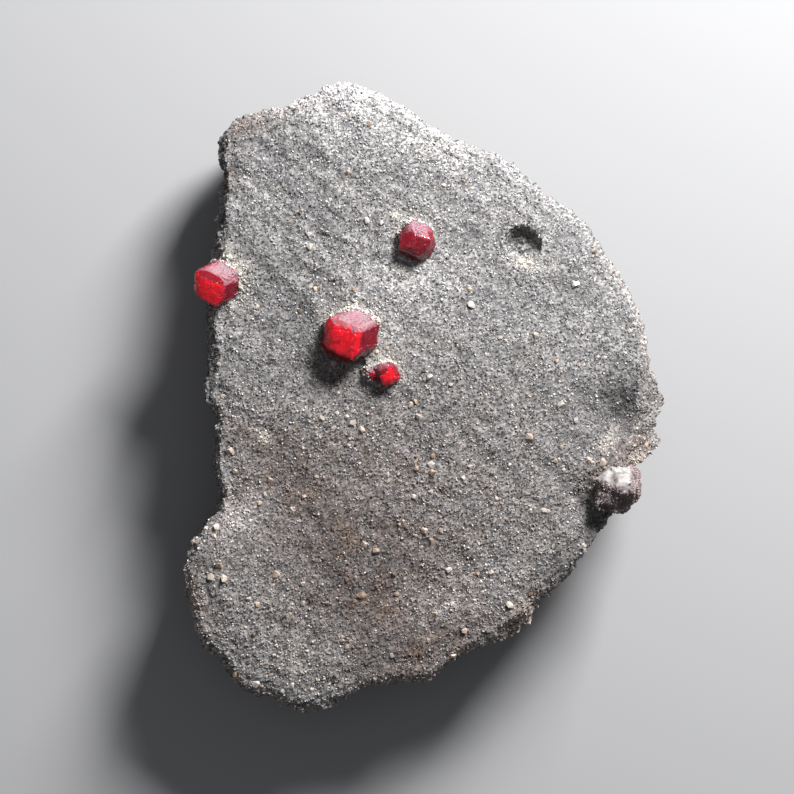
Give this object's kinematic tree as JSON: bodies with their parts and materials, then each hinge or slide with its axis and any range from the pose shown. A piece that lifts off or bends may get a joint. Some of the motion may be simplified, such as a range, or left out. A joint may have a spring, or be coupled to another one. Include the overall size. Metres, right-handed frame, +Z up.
{
  "type": "garnet in matrix",
  "caption": "Loose half-moon slab of grey, sugary, fine-grained rock with red garnet crystals standing out of its face. It lies on its flat back.",
  "frame": {"origin": "on the flat back that it rests on, under the middle of the slab's box", "axes": "+Z up out of the face that carries the crystals, +Y along the slab's longest side towards its narrow upper end, +X towards the rounded rim"},
  "size_m": [0.076, 0.0998, 0.0244],
  "materials": {
    "rock": "sugary fine-grained grey rock, salt and pepper, with a mauve-brown stain",
    "garnet": "glassy see-through red crystal faces with sealed veils",
    "coated_garnet": "crystal covered by pale mica with a mauve tint"
  },
  "bodies": {
    "root": {"matrix": "rock", "large_garnet": "garnet", "upper_garnet": "garnet", "edge_garnet": "garnet", "small_garnets": "garnet", "coated_garnet": "coated_garnet"}
  },
  "joints": []
}
